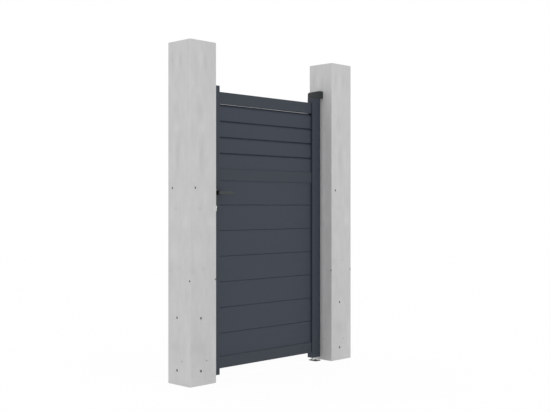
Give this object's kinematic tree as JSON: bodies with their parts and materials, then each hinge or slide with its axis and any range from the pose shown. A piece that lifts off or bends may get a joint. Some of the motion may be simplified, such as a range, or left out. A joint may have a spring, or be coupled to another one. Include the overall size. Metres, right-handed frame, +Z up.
{
  "type": "pedestrian gate",
  "caption": "Pedestrian gate with a leaf of horizontal boards below louvre blades, lever handle and lock, hung on pivots between two square concrete pillars.",
  "frame": {"origin": "centre of the hinge pillar's base, at ground level", "axes": "+X right seen from the front, +Y away from the front, through the gate, +Z up"},
  "size_m": [1.435, 0.2, 2],
  "materials": {
    "concrete": "smooth cast concrete with small air holes",
    "coated_frame": "fine-textured anthracite powder coat",
    "coated_panel": "fine-textured anthracite powder coat",
    "black_casting": "matt black coated casting",
    "black_plastic": "matt black moulded plastic",
    "black_nylon": "matt black nylon",
    "zinc_steel": "zinc plated",
    "nickel": "satin nickel plated",
    "handle_coat": "satin anthracite coat"
  },
  "bodies": {
    "posts": {"hinge_pillar": "concrete", "lock_pillar": "concrete", "top_hinge_bracket": "black_casting", "ground_pivot": "black_casting", "ground_pin": "zinc_steel", "lock_keep": "zinc_steel"},
    "leaf": {"hinge_stile": "coated_frame", "lock_stile": "coated_frame", "bottom_rail": "coated_frame", "mid_rail": "coated_frame", "top_rail": "coated_frame", "board_1": "coated_panel", "board_2": "coated_panel", "board_3": "coated_panel", "board_4": "coated_panel", "board_5": "coated_panel", "board_6": "coated_panel", "board_7": "coated_panel", "louvre_blade_1": "coated_panel", "louvre_blade_2": "coated_panel", "louvre_blade_3": "coated_panel", "louvre_blade_4": "coated_panel", "lock_stile_top_cap": "black_plastic", "lock_stile_bottom_cap": "black_plastic", "top_pivot_bush": "black_plastic", "bottom_pivot_bush": "black_plastic", "mortise_lock": "zinc_steel", "key_cylinder": "nickel", "front_handle_plate": "handle_coat", "back_handle_plate": "handle_coat"},
    "handle": {"front_lever": "handle_coat", "back_lever": "handle_coat", "front_lever_hub": "black_nylon", "back_lever_hub": "black_nylon", "spindle": "zinc_steel"}
  },
  "joints": [
    {"name": "gate_swing", "type": "hinge", "parent": "posts", "child": "leaf", "pos_m": [-0.1665, 0, 0.9], "axis": [0, 0, -1], "range_deg": [0, 100]},
    {"name": "lever_turn", "type": "hinge", "parent": "leaf", "child": "handle", "pos_m": [-1.0765, 0, 1.119], "axis": [0, 1, 0], "range_deg": [0, 40], "stiffness_Nm_per_rad": 1.2, "springref_deg": -34.38}
  ]
}
